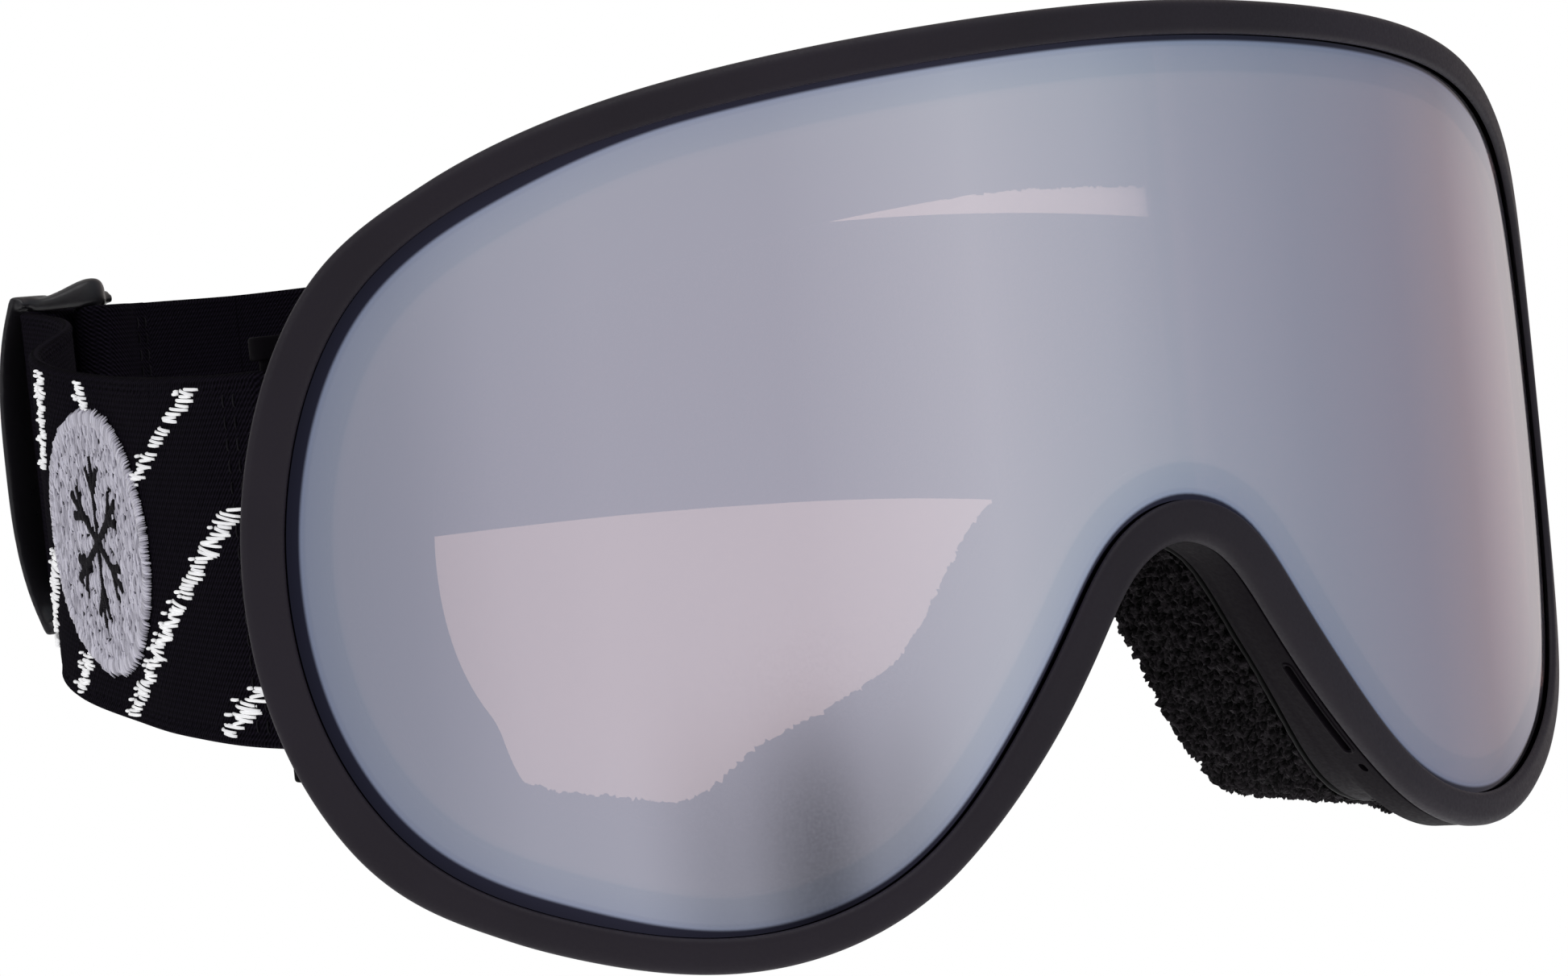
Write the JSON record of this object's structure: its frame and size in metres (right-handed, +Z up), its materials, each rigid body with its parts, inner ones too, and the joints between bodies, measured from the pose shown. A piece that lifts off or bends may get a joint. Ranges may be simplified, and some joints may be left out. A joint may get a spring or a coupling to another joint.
{
  "type": "ski goggles",
  "caption": "Ski goggles with a cylindrical mirrored double lens, soft black frame, open-cell face foam and a wide elastic strap with a sliding adjuster.",
  "frame": {"origin": "middle of the face seal: on the goggles' centre plane, level with the middle of the lens, 40 mm behind the lens front", "axes": "+Z up, lens faces -Y, the wearer's right is -X, the strap runs back along +Y"},
  "size_m": [0.1814, 0.2248, 0.0929],
  "materials": {
    "lens_mirror": "silver mirror coating on grey polycarbonate",
    "inner_lens": "clear, anti-fog",
    "gasket": "closed-cell foam",
    "rim": "matte",
    "frame": "matte soft TPU",
    "vent_foam": "open-cell foam",
    "adhesive": "glossy film",
    "face_foam": "coarse open-cell foam",
    "elastic": "knitted elastic webbing",
    "slider": "satin moulded nylon",
    "thread": "satin-stitched silver-grey thread"
  },
  "bodies": {
    "goggle_frame": {"outer_lens": "lens_mirror", "lens_spacer_gasket": "gasket", "inner_lens": "inner_lens", "front_rim": "rim", "frame_body": "frame", "brow_vent_foam": "vent_foam", "cheek_vent_foam_right": "vent_foam", "cheek_vent_foam_left": "vent_foam", "foam_adhesive": "adhesive", "face_foam": "face_foam", "strap_loop_right": "elastic", "strap_loop_left": "elastic"},
    "strap": {"strap_band": "elastic", "strap_return_layer": "elastic", "strap_return_slack": "elastic", "strap_badge": "thread"},
    "adjuster": {"strap_slider": "slider", "strap_sewn_end": "elastic"}
  },
  "joints": [
    {"name": "strap_tilt", "type": "hinge", "parent": "goggle_frame", "child": "strap", "pos_m": [0, 0.00249, -0.0012], "axis": [1, 0, 0], "range_deg": [-12, 12]},
    {"name": "adjuster_slide", "type": "slide", "parent": "strap", "child": "adjuster", "axis": [0.8984, 0.4392, 0], "range_m": [0, 0.022], "deforming": ["strap_return_slack"]}
  ]
}
